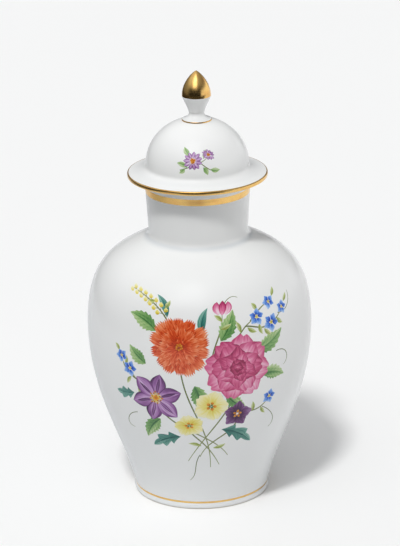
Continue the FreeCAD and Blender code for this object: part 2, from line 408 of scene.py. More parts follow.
class Brushwork(Recipe):
    """Lays a ring of like strokes on the glaze, as a flower's petals are.

    A stroke comes as a flat plate: x runs across it, z along it, and y is 1
    at its top and 0 at its underside. A layer above another adds 1 to y.
    """

    numbers = ("Start", "Angle Step", "Eye", "Fill", "Turn", "Squeeze", "Jitter", "Lift", "Lift Step", "Sunk",
               "Seat Angle", "Seat Length")
    ranks = 3.0
    load_swing = 0.22

    def __init__(self) -> None:
        """Build the tree: strokes in a ring, then the ring on the glaze."""
        others = {"Petals": "Int", "Seed": "Int", "Outline": "Object"}
        super().__init__("Ring of strokes on the glaze", dict.fromkeys(self.numbers, "Float") | others)
        self.close(self.wash(self.on_glaze(self.ring())))

    def ring(self) -> Node:
        """Set the strokes in a ring, each a little larger or smaller by chance.

        Returns:
            The strokes, on flat paper.
        """
        given, put = self.given, self.add
        index = put("GeometryNodeInputIndex")
        share = put(MATH, put(MATH, index, 0.5, operation="ADD"), given["Petals"], operation="DIVIDE")
        share = put(MATH, share, given["Fill"], operation="POWER")
        away = put(MATH, share, given["Eye"], operation="MULTIPLY")
        chance = put("FunctionNodeRandomValue", -1.0, 1.0, index, given["Seed"], data_type="FLOAT")
        swing = put(MATH, chance, given["Jitter"], operation="MULTIPLY")
        first = put(MATH, swing, given["Start"], operation="ADD")
        angle = put(MATH, index, given["Angle Step"], first, operation="MULTIPLY_ADD")
        across, along = (put(MATH, away, put(MATH, angle, operation=wave), operation="MULTIPLY")
                         for wave in ("SINE", "COSINE"))
        spots = put("GeometryNodePoints", given["Petals"], put(JOIN_XYZ, X=across, Z=along))
        size = put(MATH, swing, 1.0, operation="ADD")
        ring = put("GeometryNodeInstanceOnPoints", Points=spots, Instance=given["Geometry"],
                   Rotation=put(JOIN_XYZ, Y=angle), Scale=put(JOIN_XYZ, size, 1.0, size))
        for name, value in (("rank", put(MATH, index, self.ranks, operation="MODULO")), ("chance", chance)):
            ring = put(STORE, ring, Name=name, Value=value, data_type="FLOAT", domain="INSTANCE")
        return put("GeometryNodeRealizeInstances", ring)

    def on_glaze(self, strokes: Node) -> Node:
        """Bend flat strokes onto the piece's outline.

        Args:
            strokes: The strokes on flat paper.

        Returns:
            The strokes on the glaze.
        """
        given, put = self.given, self.add
        flat = put(SPLIT_XYZ, put("GeometryNodeInputPosition")).outputs
        squeezed = put(JOIN_XYZ, X=flat[0], Z=put(MATH, flat[2], given["Squeeze"], operation="MULTIPLY"))
        leant = put(ROTATE, Vector=squeezed, Angle=given["Turn"], rotation_type="Y_AXIS")
        paper = put(SPLIT_XYZ, leant).outputs
        outline = put("GeometryNodeObjectInfo", given["Outline"]).outputs["Geometry"]
        length = put(MATH, paper[2], given["Seat Length"], operation="ADD")
        sample = put("GeometryNodeSampleCurve", Curves=put("GeometryNodeMeshToCurve", outline), Length=length,
                     mode="LENGTH").outputs
        radius = put(SPLIT_XYZ, sample["Position"])
        climb = put(SPLIT_XYZ, sample["Tangent"]).outputs
        normal = put(JOIN_XYZ, X=climb[2], Z=put(MATH, climb[0], -1.0, operation="MULTIPLY"))
        rank = put(NAMED, "rank", data_type="FLOAT")
        layer = put(MATH, put(MATH, flat[1], 1.0, operation="SUBTRACT"), rank, operation="ADD")
        level = put(MATH, layer, given["Lift Step"], given["Lift"], operation="MULTIPLY_ADD")
        depth = put(MATH, given["Sunk"], -1.0, operation="MULTIPLY")
        height = put(MIX, flat[1], depth, level, data_type="FLOAT")
        risen = put("ShaderNodeVectorMath", normal, height, operation="SCALE")
        spot = put("ShaderNodeVectorMath", sample["Position"], risen, operation="ADD")
        angle = put(MATH, paper[0], radius, operation="DIVIDE")
        angle = put(MATH, angle, given["Seat Angle"], operation="ADD")
        # The painted front faces -Y, a quarter turn from where the wheel starts.
        angle = put(MATH, angle, TURN / 4, operation="SUBTRACT")
        turned = put(ROTATE, Vector=spot, Angle=angle, rotation_type="Z_AXIS")
        return put("GeometryNodeSetPosition", strokes, Position=turned)

    def wash(self, strokes: Node) -> Node:
        """Store how thinly each stroke's colour is laid, stroke by stroke.

        Args:
            strokes: The strokes on the glaze.

        Returns:
            The strokes, which carry it.
        """
        chance, load = (self.add(NAMED, name, data_type="FLOAT") for name in ("chance", Paper.load_name))
        thin = self.add(MATH, chance, self.load_swing, load, operation="MULTIPLY_ADD")
        return self.add(STORE, strokes, Name=Paper.wash_name, Value=thin, data_type="FLOAT", domain="POINT")


@dataclass(frozen=True)
class Edge:
    """Edge of a stroke: half widths along it as shares, and its tip."""

    width_shares: tuple[float, ...]
    dome: float = 0.0
    notch: float = 0.0
    ripples: int = 0
    ripple: float = 0.0
    teeth: int = 0
    tooth: float = 0.0
    notch_width: float = 0.28

    def width(self, along: float) -> float:
        """Work out how wide the stroke is, with its teeth.

        Args:
            along: The share of its length.

        Returns:
            The half width there, as a share.
        """
        last = len(self.width_shares) - 1
        swell = sum(share * comb(last, k) * along**k * (1 - along)**(last - k)
                    for k, share in enumerate(self.width_shares))
        return swell * (1 + self.tooth * ((along * self.teeth) % 1 - 0.5))

    def tip(self, across: float) -> float:
        """Return how far the tip runs on at a place across, in half widths."""
        notch = self.notch * exp(-(across / self.notch_width)**2)
        return self.dome * (1 - across**2) - notch + self.ripple * cos(pi * self.ripples * across)


class Cut(Enum):
    """The ways in which a stroke's edge is cut."""

    ROUND = Edge((0.16, 0.50, 1.15, 1.45, 0.55), dome=0.55)
    HEART = Edge((0.14, 0.45, 1.10, 1.55, 0.72), dome=0.45, notch=0.30)
    POINTED = Edge((0.22, 0.80, 1.45, 1.05, 0.03))
    FRILLED = Edge((0.14, 0.50, 1.00, 1.45, 0.95), dome=0.25, ripples=5, ripple=0.30)
    LANCE = Edge((0.05, 0.90, 1.45, 0.75, 0.02))
    LEAF = Edge((0.05, 1.30, 1.45, 0.70, 0.02), teeth=7, tooth=0.30)
    LOBED = Edge((0.05, 1.10, 1.55, 0.90, 0.02), teeth=3, tooth=0.85)
    LINE = Edge((0.9, 1.05, 1.0, 0.45))
    DOT = Edge((0.45, 1.35, 1.35, 0.45), dome=0.4)


@dataclass(frozen=True)
class Stroke:
    """One stroke of the brush: a bent spine with a width along it."""

    spine: Sequence[Point]
    half_width: float
    cut: Cut
    load: float = 0.5
    layer: int = 0

    def place(self, along: float) -> tuple[Vector, Vector]:
        """Find a place on the spine.

        Args:
            along: The share of its run.

        Returns:
            The point there and the direction ahead.
        """
        a, b, c, d = (Vector(p) for p in self.spine)
        t, s = along, 1 - along
        return cubic(a, b, c, d, t), ((b - a) * s * s + (c - b) * 2 * s * t + (d - c) * t * t).normalized()


def blade(u: float, v: float, degrees: float, length: float, half_width: float, cut: Cut,
          bend: float = 0.0, load: float = 0.5, layer: int = 0) -> Stroke:
    """Draw a stroke that starts at a point and heads one way.

    Args:
        u: Where it starts, across.
        v: Where it starts, up.
        degrees: Its heading from straight up, clockwise.
        length: How long it is.
        half_width: Half of its width.
        cut: How its edge is cut.
        bend: How far its middle is bent to its right, as a share.
        load: How thinly the colour is laid, from 0 to 1.
        layer: How many layers lie under it.

    Returns:
        The stroke.
    """
    ahead = Vector((sin(radians(degrees)), cos(radians(degrees)))) * length
    start, aside = Vector((u, v)), right_of(ahead) * bend
    spine = (start, start + ahead / 3 + aside, start + ahead * 2 / 3 + aside, start + ahead)
    return Stroke([tuple(p) for p in spine], half_width, cut, load, layer)


class Paper:
    """Sheet on which strokes are cut before they are laid on the glaze."""

    uv_name = "Brush"
    wash_name = "wash"
    load_name = "load"
    cell = 1.2
    least_rows = 6
    least_columns = 4
    rows_per_tooth = 4
    columns_per_ripple = 2
    tip_power = 4

    def __init__(self, strokes: Sequence[Stroke]) -> None:
        """Cut the strokes, one by one.

        Args:
            strokes: The strokes.
        """
        self.places: list[tuple[float, float, float]] = []
        self.faces: list[tuple[int, ...]] = []
        self.brush: list[Point] = []
        self.loads: list[float] = []
        for stroke in strokes:
            self.cut(stroke)

    def cut(self, stroke: Stroke) -> None:
        """Cut one stroke as a closed thin plate.

        Args:
            stroke: The stroke.
        """
        edge, half = stroke.cut.value, stroke.half_width
        length = run_of(*(Vector(p) for p in stroke.spine))
        rows = max(self.least_rows, ceil(length / self.cell), edge.teeth * self.rows_per_tooth)
        columns = max(self.least_columns, edge.ripples * self.columns_per_ripple,
                      ceil(2 * half * max(edge.width_shares) / self.cell))
        columns += columns % 2
        first, wide = len(self.places), columns + 1
        size = (rows + 1) * wide
        for level in (1.0 + stroke.layer, 0.0):
            for row in range(rows + 1):
                along = row / rows
                point, ahead = stroke.place(along)
                aside = right_of(ahead) * half * edge.width(along)
                for column in range(wide):
                    across = 2 * column / columns - 1
                    run = half * edge.tip(across) * along**self.tip_power
                    spot = (point + aside * across + ahead * run) * MM
                    self.places.append((spot.x, level, spot.y))
                    self.brush.append((column / columns, along))
                    self.loads.append(stroke.load)
        for a in (first + row * wide + column for row in range(rows) for column in range(columns)):
            quad = (a, a + 1, a + wide + 1, a + wide)
            self.faces += [quad, tuple(k + size for k in reversed(quad))]
        border = [first + k for k in range(columns)] + [first + columns + wide * k for k in range(rows)]
        border += [first + size - 1 - k for k in range(columns)]
        border += [first + size - wide - wide * k for k in range(rows)]
        self.faces += [(b, a, a + size, b + size) for a, b in zip(border, border[1:] + border[:1])]

    def mesh(self, name: str) -> Mesh:
        """Make the strokes a mesh, with their place under the brush.

        Args:
            name: The mesh's name.

        Returns:
            The mesh.
        """
        mesh = bpy.data.meshes.new(name)
        mesh.from_pydata(self.places, [], self.faces)
        layer = mesh.uv_layers.new(name=self.uv_name)
        for loop in mesh.loops:
            layer.data[loop.index].uv = self.brush[loop.vertex_index]
        mesh.attributes.new(self.load_name, "FLOAT", "POINT").data.foreach_set("value", self.loads)
        return mesh


@dataclass(frozen=True)
class PorcelainGlaze:
    """Hard-paste porcelain under a clear feldspar glaze, fired to full gloss.

    The eye sees a cold white with soft, slightly wavy reflections. The glaze
    pools a little bluer in the hollow corners, and a face left bare for the
    kiln is dead matt and warmer.
    """

    name: str
    pools: tuple[float, ...]
    bare_below: float
    white: str = "#F1F1F0"
    drift: str = "#EEEFED"
    pooled: str = "#E0E3E4"
    biscuit: str = "#E2D9C8"
    speck: str = "#A89C8A"
    roughness: float = 0.20
    biscuit_roughness: float = 0.75
    cloud_size: float = 30.0
    ripple_size: float = 9.0
    ripple_depth: float = 0.014
    ring_pitch: float = 3.4
    ring_share: float = 0.06
    speck_spacing: float = 13.0
    speck_size: float = 0.13
    speck_strength: float = 0.5
    pool_reach: float = 2.4
    bare_edge: float = 0.25

    def material(self) -> Material:
        """Mix the glaze.

        Returns:
            The glaze as a material.
        """
        made, shader, put = new_finish(self.name)
        place = put("ShaderNodeTexCoord").outputs["Object"]
        height = put(SPLIT_XYZ, place).outputs["Z"]
        layers = [(put(NOISE, Vector=place, Scale=1 / (self.cloud_size * MM), Detail=2.0), self.drift)]
        for pool in self.pools:
            away = put(MATH, put(MATH, height, pool * MM, operation="SUBTRACT"), operation="ABSOLUTE")
            depth = put(RANGE, away, 0.0, self.pool_reach * MM, 1.0, 0.0, interpolation_type="SMOOTHSTEP")
            layers.append((depth, self.pooled))
        cells = put("ShaderNodeTexVoronoi", Vector=place, Scale=1 / (self.speck_spacing * MM))
        small = self.speck_size / self.speck_spacing
        speck = put(RANGE, cells, small, 2 * small, self.speck_strength, 0.0)
        bare = put(RANGE, height, self.bare_below * MM, (self.bare_below + self.bare_edge) * MM, 1.0, 0.0)
        colour: Any = linear(self.white)
        for share, over in (*layers, (speck, self.speck), (bare, self.biscuit)):
            colour = put(MIX, share, colour, linear(over), data_type="RGBA")
        ripple = put(NOISE, Vector=place, Scale=1 / (self.ripple_size * MM), Detail=1.0)
        rings = put(MATH, height, TURN / (self.ring_pitch * MM), operation="MULTIPLY")
        rings = put(MATH, rings, operation="SINE")
        relief = put(MATH, rings, self.ring_share, ripple, operation="MULTIPLY_ADD")
        bump = put("ShaderNodeBump", Height=relief, Strength=1.0, Distance=self.ripple_depth * MM)
        gloss = put(RANGE, bare, 0.0, 1.0, self.roughness, self.biscuit_roughness)
        feed(shader, Base_Color=colour, Roughness=gloss, Normal=bump)
        return made


@dataclass(frozen=True)
class Gilding:
    """Gold fired on the glaze and rubbed up with an agate burnisher.

    The eye sees a warm mirror drawn out into fine streaks along the rubbing,
    a little redder where the film is thin.
    """

    name: str
    gold: str = "#F3C87A"
    thin: str = "#E8B068"
    roughness: Point = (0.13, 0.26)
    rubbed: Point = (0.3, 0.7)
    streak_length: float = 14.0
    streak_width: float = 0.5
    streak_depth: float = 0.004
    cloud_size: float = 6.0
    clouded: Point = (0.45, 0.8)

    def material(self) -> Material:
        """Fire and burnish the gold.

        Returns:
            The gilding as a material.
        """
        made, shader, put = new_finish(self.name)
        place = put("ShaderNodeTexCoord").outputs["Object"]
        along, across = 1 / (self.streak_length * MM), 1 / (self.streak_width * MM)
        drawn = put("ShaderNodeMapping", Vector=place, Scale=(along, along, across))
        streak = put(NOISE, Vector=drawn, Scale=1.0, Detail=3.0)
        cloud = put(NOISE, Vector=place, Scale=1 / (self.cloud_size * MM), Detail=2.0)
        thin = put(RANGE, cloud, *self.clouded)
        colour = put(MIX, thin, linear(self.gold), linear(self.thin), data_type="RGBA")
        dull = put(RANGE, streak, *self.rubbed, *self.roughness)
        bump = put("ShaderNodeBump", Height=streak, Strength=1.0, Distance=self.streak_depth * MM)
        feed(shader, Base_Color=colour, Metallic=1.0, Roughness=dull, Normal=bump)
        return made


class BrushWash:
    """How a brush lays one stroke of colour, shared by all the enamels.

    The tone runs from 0, the colour laid full, to 1, the ground showing.
    """

    inputs = ("Start", "Rise", "Edge", "Streak", "Spread", "Veins")
    hairs_across = 9.0
    hairs_along = 1.6
    hairs_apart = 31.0
    vein_slant = -0.24
    vein_count = 7.0
    vein_width = 0.25
    rib_edge = (0.03, 0.16)
    rib_depth = 1.5
    side_shade = 0.5

    def __init__(self) -> None:
        """Build the node group."""
        self.tree = bpy.data.node_groups.new("Brush wash", "ShaderNodeTree")
        put = partial(add, self.tree)
        for labels, way in ((self.inputs, "INPUT"), (("Tone", "Relief"), "OUTPUT")):
            for label in labels:
                self.tree.interface.new_socket(name=label, in_out=way, socket_type="NodeSocketFloat")
        given = put("NodeGroupInput").outputs
        side, along = put(SPLIT_XYZ, put("ShaderNodeUVMap", uv_map=Paper.uv_name)).outputs[:2]
        wash = put("ShaderNodeAttribute", attribute_name=Paper.wash_name).outputs["Fac"]
        centred = put(MATH, side, 2.0, -1.0, operation="MULTIPLY_ADD")
        across = put(MATH, centred, operation="ABSOLUTE")
        grain = put(JOIN_XYZ, *(put(MATH, value, scale, operation="MULTIPLY") for value, scale in (
            (side, self.hairs_across), (along, self.hairs_along), (wash, self.hairs_apart))))
        hair = put(NOISE, Vector=grain, Scale=1.0, Detail=3.0)
        slant = put(MATH, across, self.vein_slant, along, operation="MULTIPLY_ADD")
        comb = put(MATH, put(MATH, slant, self.vein_count, operation="MULTIPLY"), operation="FRACT")
        comb = put(RANGE, comb, 0.0, self.vein_width, 1.0, 0.0)
        rib = put(RANGE, across, *self.rib_edge, self.rib_depth, 0.0)
        half = put(MATH, put(MATH, centred, operation="SIGN"), self.side_shade, operation="MULTIPLY")
        vein = put(MATH, put(MATH, comb, rib, operation="MAXIMUM"), half, operation="ADD")
        tone = given["Start"]
        for label, value in (
            ("Rise", along),
            ("Edge", put(MATH, across, across, operation="MULTIPLY")),
            ("Streak", put(MATH, hair, 0.5, operation="SUBTRACT")),
            ("Spread", put(MATH, wash, 0.5, operation="SUBTRACT")),
            ("Veins", vein),
        ):
            tone = put(MATH, value, given[label], tone, operation="MULTIPLY_ADD")
        put("NodeGroupOutput", tone, hair)


@dataclass(frozen=True)
class Enamel:
    """Overglaze enamel: ground colour in oil, laid by brush and fired on.

    The eye sees a glossy wash that runs from full colour to bare porcelain
    within one stroke, with the hairs of the brush drawn through it.
    """

    name: str
    shades: tuple[str, ...]
    start: float = 0.1
    rise: float = 0.7
    edge: float = 0.15
    streak: float = 0.9
    spread: float = 0.6
    veins: float = 0.0
    roughness: float = 0.17
    relief: float = 0.015

    def material(self, wash: BrushWash) -> Material:
        """Grind the enamel.

        Args:
            wash: The way that the brush lays it.

        Returns:
            The enamel as a material.
        """
        made, shader, put = new_finish(self.name)
        laid = put("ShaderNodeGroup", node_tree=wash.tree,
                   **{label: getattr(self, label.lower()) for label in wash.inputs})
        ramp = put("ShaderNodeValToRGB", laid)
        stops = ramp.color_ramp.elements
        while len(stops) < len(self.shades):
            stops.new(1.0)
        for k, shade in enumerate(self.shades):
            stops[k].position = k / (len(self.shades) - 1)
            stops[k].color = linear(shade)
        bump = put("ShaderNodeBump", Height=laid.outputs["Relief"], Strength=1.0, Distance=self.relief * MM)
        feed(shader, Base_Color=ramp, Roughness=self.roughness, Normal=bump)
        return made


class Tint(Enum):
    """The enamel colours of the painter's box."""

    ROSE = Enamel("rose_purple_enamel", ("#8E1E4A", "#BC3C6E", "#D66893", "#E8A3BF", "#F0D3DF"),
                  start=1.07, rise=-0.78, edge=-0.34, spread=0.8)
    ORANGE = Enamel("iron_orange_enamel", ("#9C2C0E", "#CB431D", "#E06A3C", "#EE9B70", "#F6CDB2"),
                    start=0.0, rise=0.55, streak=1.1)
    VIOLET = Enamel("manganese_violet_enamel", ("#3D1945", "#693A72", "#94609E", "#C096C8", "#E4D0E8"),
                    start=0.84, rise=-0.26, edge=-0.56, streak=1.0)
    YELLOW = Enamel("antimony_yellow_enamel", ("#A9861F", "#D9C344", "#E8DA72", "#EFE69E", "#F3EEC6"),
                    start=0.2)
    PLUM = Enamel("deep_plum_enamel", ("#2C1030", "#4C2350", "#74467A", "#AC8CB2"), start=0.05)
    BLUE = Enamel("cobalt_blue_enamel", ("#0F359E", "#275CC8", "#5A90E0", "#A4C4F0", "#DBE8F8"),
                  start=0.02)
    GREEN = Enamel("copper_green_enamel", ("#36603C", "#568A4E", "#80AB66", "#B0C98E", "#DDE7C8"),
                   start=0.32, rise=0.3, veins=-0.22)
    TEAL = Enamel("blue_green_enamel", ("#1B504C", "#3A7A70", "#6CA394", "#AFCFC2"),
                  start=0.28, rise=0.35, veins=-0.2)
    MOSS = Enamel("moss_green_enamel", ("#5B6A2C", "#8A9A48", "#B3BF73", "#D8DEB6"),
                  start=0.4, rise=0.4, veins=-0.25)
    STEM = Enamel("stem_brown_enamel", ("#3F4A2A", "#66713F", "#97A06A"), start=0.35, rise=0.5)
    AMBER = Enamel("amber_enamel", ("#9C4E10", "#D8861F", "#F0B64A"), start=0.1)


@dataclass(frozen=True)
class Ring:
    """One ring of petals: how many, how large, how laid."""

    count: int
    length: float
    half_width: float
    cut: Cut
    tint: Tint
    eye: float = 0.0
    load: float = 0.5
    turn: float = 0.0
    fill: float = 0.0
    jitter: float = 0.05

    @property
    def step(self) -> float:
        """Return the angle between petals: even, or golden where they fill."""
        return GOLDEN_ANGLE if self.fill else TURN / self.count


class Kind(Enum):
    """The flowers of the spray, ring by ring from the outside in."""

    ROSE = (
        Ring(8, 14.5, 7.2, Cut.HEART, Tint.ROSE, eye=6.2, load=0.72),
        Ring(6, 12.5, 7.0, Cut.HEART, Tint.ROSE, eye=4.0, load=0.60, turn=24),
        Ring(6, 10.0, 5.6, Cut.ROUND, Tint.ROSE, eye=2.4, load=0.46, turn=50),
        Ring(5, 7.4, 4.4, Cut.ROUND, Tint.ROSE, eye=1.0, load=0.34, turn=12),
        Ring(5, 5.2, 3.3, Cut.HEART, Tint.ROSE, load=0.22, turn=40),
        Ring(4, 3.0, 2.0, Cut.ROUND, Tint.ROSE, load=0.02, turn=5),
    )
    MARIGOLD = (
        Ring(14, 11.5, 3.7, Cut.FRILLED, Tint.ORANGE, eye=7.6, load=0.42, jitter=0.09),
        Ring(12, 10.5, 3.6, Cut.FRILLED, Tint.ORANGE, eye=5.4, load=0.34, turn=11, jitter=0.09),
        Ring(11, 9.0, 3.2, Cut.FRILLED, Tint.ORANGE, eye=3.4, load=0.42, turn=5, jitter=0.09),
        Ring(8, 6.8, 2.7, Cut.FRILLED, Tint.ORANGE, eye=1.6, load=0.26, turn=20, jitter=0.09),
        Ring(5, 4.4, 2.3, Cut.FRILLED, Tint.ORANGE, eye=0.1, load=0.10, turn=8),
        Ring(9, 1.5, 0.65, Cut.DOT, Tint.AMBER, eye=1.3, load=0.4, fill=0.5),
    )
    CLEMATIS = (
        Ring(6, 17.5, 5.8, Cut.POINTED, Tint.VIOLET, eye=1.5, load=0.46, jitter=0.04),
        Ring(6, 13.5, 1.1, Cut.POINTED, Tint.VIOLET, eye=2.5, load=0.0, jitter=0.04),
        Ring(20, 3.4, 0.32, Cut.LINE, Tint.YELLOW, eye=1.0, load=0.1, jitter=0.12),
        Ring(5, 2.0, 1.1, Cut.DOT, Tint.AMBER, eye=0.1, load=0.6),
        Ring(14, 1.2, 0.55, Cut.DOT, Tint.AMBER, eye=4.2, load=0.2, fill=0.35),
    )
    PRIMROSE = (
        Ring(5, 8.6, 4.9, Cut.HEART, Tint.YELLOW, eye=1.2),
        Ring(5, 3.0, 1.1, Cut.POINTED, Tint.AMBER, eye=0.9),
        Ring(3, 1.2, 0.8, Cut.DOT, Tint.GREEN, eye=0.3, load=0.2),
    )
    VIOLA = (
        Ring(5, 7.2, 3.9, Cut.ROUND, Tint.PLUM, eye=1.0, load=0.4),
        Ring(5, 2.6, 0.8, Cut.POINTED, Tint.AMBER, eye=0.7),
    )
    STARLET = (
        Ring(5, 3.9, 2.0, Cut.ROUND, Tint.BLUE, eye=0.8, load=0.45, jitter=0.08),
        Ring(3, 1.0, 0.65, Cut.DOT, Tint.YELLOW, eye=0.2, load=0.2),
    )
    DAISY = (
        Ring(11, 4.2, 1.15, Cut.ROUND, Tint.VIOLET, eye=1.5, load=0.66, jitter=0.1),
        Ring(5, 1.5, 0.9, Cut.DOT, Tint.AMBER, load=0.7),
        Ring(6, 1.1, 0.5, Cut.DOT, Tint.AMBER, eye=1.1, load=0.2, fill=0.5),
    )


@dataclass(frozen=True)
class Flower:
    """One flower of the spray, in its place."""

    name: str
    kind: Kind
    u: float
    v: float
    turn: float = 0.0
    squeeze: float = 1.0
    scale: float = 1.0
    lift: float = 0.045


@dataclass
class Painter:
    """Lays strokes on one piece, measured along the glaze from one height."""

    brushwork: Brushwork
    palette: dict[Tint, Material]
    outline: Line
    middle: float
    body: str
    lift_step: float = 0.005
    sunk: float = 0.10
    layers_per_ring: int = 3
    drawing_seed: int = 7
    line: Object = field(init=False)

    def __post_init__(self) -> None:
        """Keep the outline as an object that the strokes follow."""
        name = self.body + "_outline"
        self.line = stand(name, line_mesh(name, self.outline))

    def seat(self, v: float) -> Point:
        """Find a height on the glaze.

        Args:
            v: The height, along the glaze from the middle of the painting.

        Returns:
            The length from the outline's start and the radius there.
        """
        pairs = list(zip(self.outline, self.outline[1:]))
        edges = list(zip(accumulate((run_of(*pair) for pair in pairs), initial=0.0), pairs))
        length = v + next(run + (b - a).length * (self.middle - a.y) / (b.y - a.y)
                          for run, (a, b) in edges if a.y <= self.middle < b.y)
        for run, (a, b) in edges:
            step = (b - a).length
            if run <= length < run + step:
                return length, a.lerp(b, (length - run) / step).x
        raise ValueError(f"{v} lies off the outline of {self.body}")

    def lay(self, name: str, strokes: Sequence[Stroke], tint: Tint, lift: float,
            u: float = 0.0, v: float = 0.0, **ring: Any) -> Object:
        """Lay strokes on the glaze, once or as a ring.

        Args:
            name: The name of the result.
            strokes: The strokes, drawn about the seat.
            tint: The enamel that they are laid in.
            lift: How far the lowest layer stands on the glaze.
            u: Where the seat lies, across.
            v: Where it lies, up.
            **ring: Inputs of the tree that differ from one plain stroke's.

        Returns:
            The strokes on the glaze.
        """
        length, radius = self.seat(v)
        plain = {"Petals": 1, "Start": 0.0, "Angle_Step": 0.0, "Eye": 0.0, "Fill": 0.0, "Turn": 0.0,
                 "Squeeze": 1.0, "Jitter": 0.0, "Seed": self.drawing_seed}
        return self.brushwork.bake(
            name, Paper(strokes).mesh(name), **(plain | ring), Lift=lift * MM, Lift_Step=self.lift_step * MM,
            Sunk=self.sunk * MM, Seat_Angle=u / radius, Seat_Length=length * MM, Outline=self.line,
            Finish=self.palette[tint])

    def flower(self, flower: Flower) -> None:
        """Lay one flower, ring by ring, and join its rings into one piece.

        Args:
            flower: The flower and its place.
        """
        rings, size = [], flower.scale
        for k, ring in enumerate(flower.kind.value):
            petal = blade(0, 0, 0, ring.length * size, ring.half_width * size, ring.cut, load=ring.load)
            lift = flower.lift + self.layers_per_ring * k * self.lift_step
            rings.append(self.lay(
                f"{flower.name}_{k}", [petal], ring.tint, lift, flower.u, flower.v, Petals=ring.count,
                Start=radians(ring.turn), Angle_Step=ring.step, Eye=ring.eye * size * MM, Fill=ring.fill,
                Turn=radians(flower.turn), Squeeze=flower.squeeze, Jitter=ring.jitter,
                Seed=k + len(flower.name)))
        first = rings[0]
        with bpy.context.temp_override(active_object=first, object=first, selected_editable_objects=rings,
                                       selected_objects=rings):
            bpy.ops.object.join()
        first.name = first.data.name = flower.name
        self.keep(first)

    def draw(self, name: str, strokes: Sequence[Stroke], tint: Tint, lift: float) -> None:
        """Lay strokes that are drawn about the painting's middle."""
        self.keep(self.lay(name, strokes, tint, lift))

    def keep(self, piece: Object) -> None:
        """Let a piece of the painting ride with its body.

        Args:
            piece: The piece.
        """
        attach(piece, self.body)
        log.info("%s: %d faces of enamel", piece.name, len(piece.data.polygons))

    def put_away(self) -> None:
        """Take the outline off the scene once the painting is done."""
        bpy.data.meshes.remove(self.line.data)


@dataclass
class Ware:
    """What the jar and its cover share: the wheel, and gold on the glaze."""

    body = ""

    wheel: Wheel

    def throw(self, name: str, section: Line, finish: Material, slot: str, *nodes: str) -> None:
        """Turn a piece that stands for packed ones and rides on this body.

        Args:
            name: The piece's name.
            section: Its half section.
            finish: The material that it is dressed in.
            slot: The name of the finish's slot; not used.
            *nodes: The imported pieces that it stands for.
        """
        piece = self.wheel.turn(name, section, finish)
        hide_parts(*nodes)
        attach(piece, self.body)
        log.info("%s: %d faces on %s", piece.name, len(piece.data.polygons), self.body)

    def gild(self, name: str, node: str, gold: Material, outline: Callable[[float], Line],
             *measures: Measure) -> None:
        """Fire a film of gold on the part of an outline that all measures keep."""
        self.throw(name, Film(outline, measures).section(), gold, "burnished_gilding", node)


